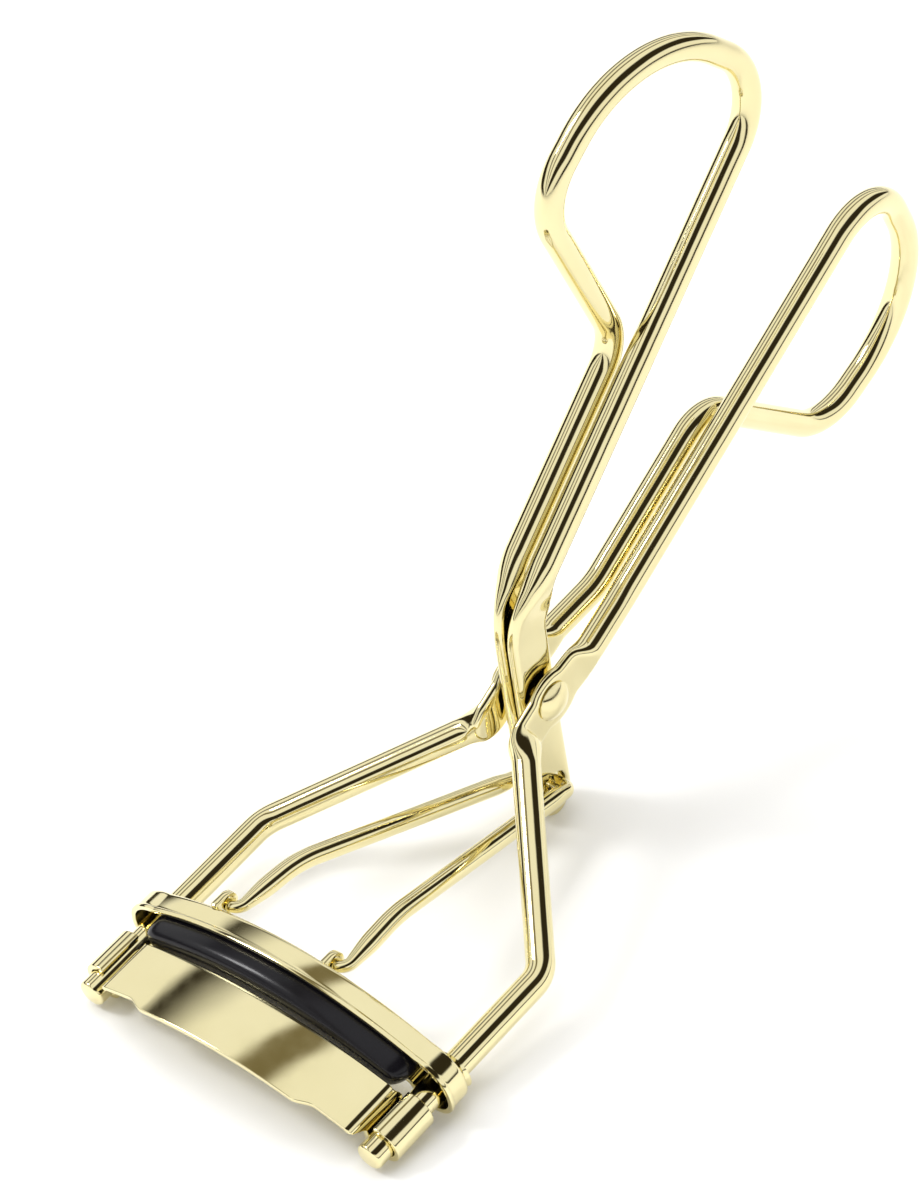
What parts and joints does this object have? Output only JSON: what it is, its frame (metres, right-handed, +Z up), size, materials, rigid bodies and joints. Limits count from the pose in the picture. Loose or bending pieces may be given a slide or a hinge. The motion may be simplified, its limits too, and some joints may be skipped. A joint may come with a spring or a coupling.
{
  "type": "eyelash curler",
  "caption": "Scissor-handled wire eyelash curler: a rod frame with a curved jaw plate, a padded channel sliding on the rods, and a lever that pulls it by link wires",
  "frame": {"origin": "centre of the bounding box in plan, on the surface that the jaw barrels and the lever tip stand on", "axes": "X across the jaw, Y from the jaw towards the finger loops, Z up and to the front of the tool"},
  "size_m": [0.0414, 0.1106, 0.0792],
  "materials": {
    "polished_gold_wire": "mirror-polished pale gold plating",
    "gold_link_wire": "polished pale gold plating",
    "gold_rivet": "polished pale gold plating",
    "polished_gold_sheet": "mirror-polished pale gold plating",
    "black_silicone": "glossy black silicone"
  },
  "bodies": {
    "frame": {"frame_wire": "polished_gold_wire", "fixed_jaw": "polished_gold_sheet", "pivot_rivet": "gold_rivet"},
    "lever": {"lever_wire": "polished_gold_wire"},
    "jaw": {"moving_jaw": "polished_gold_sheet", "silicone_pad": "black_silicone"},
    "link_left": {"link_wire_left": "gold_link_wire"},
    "link_right": {"link_wire_right": "gold_link_wire"}
  },
  "joints": [
    {"name": "lever_hinge", "type": "hinge", "parent": "frame", "child": "lever", "pos_m": [0, -0.00733, 0.01664], "axis": [1, 0, 0], "range_deg": [0, 30]},
    {"name": "jaw_slide", "type": "slide", "parent": "frame", "child": "jaw", "axis": [0, 0.9927, 0.1204], "range_m": [0, 0.0066]},
    {"name": "link_left_hinge", "type": "hinge", "parent": "jaw", "child": "link_left", "pos_m": [-0.0087, -0.04175, 0.00894], "axis": [1, 0, 0], "range_deg": [0, 1.6]},
    {"name": "link_right_hinge", "type": "hinge", "parent": "jaw", "child": "link_right", "pos_m": [0.0051, -0.04175, 0.00894], "axis": [1, 0, 0], "range_deg": [0, 1.6]}
  ],
  "couplings": [
    {"joint": "jaw_slide", "follows": "lever_hinge", "m_per_rad": 0.01245},
    {"joint": "link_left_hinge", "follows": "lever_hinge", "ratio": 0.0494},
    {"joint": "link_right_hinge", "follows": "lever_hinge", "ratio": 0.0494}
  ]
}
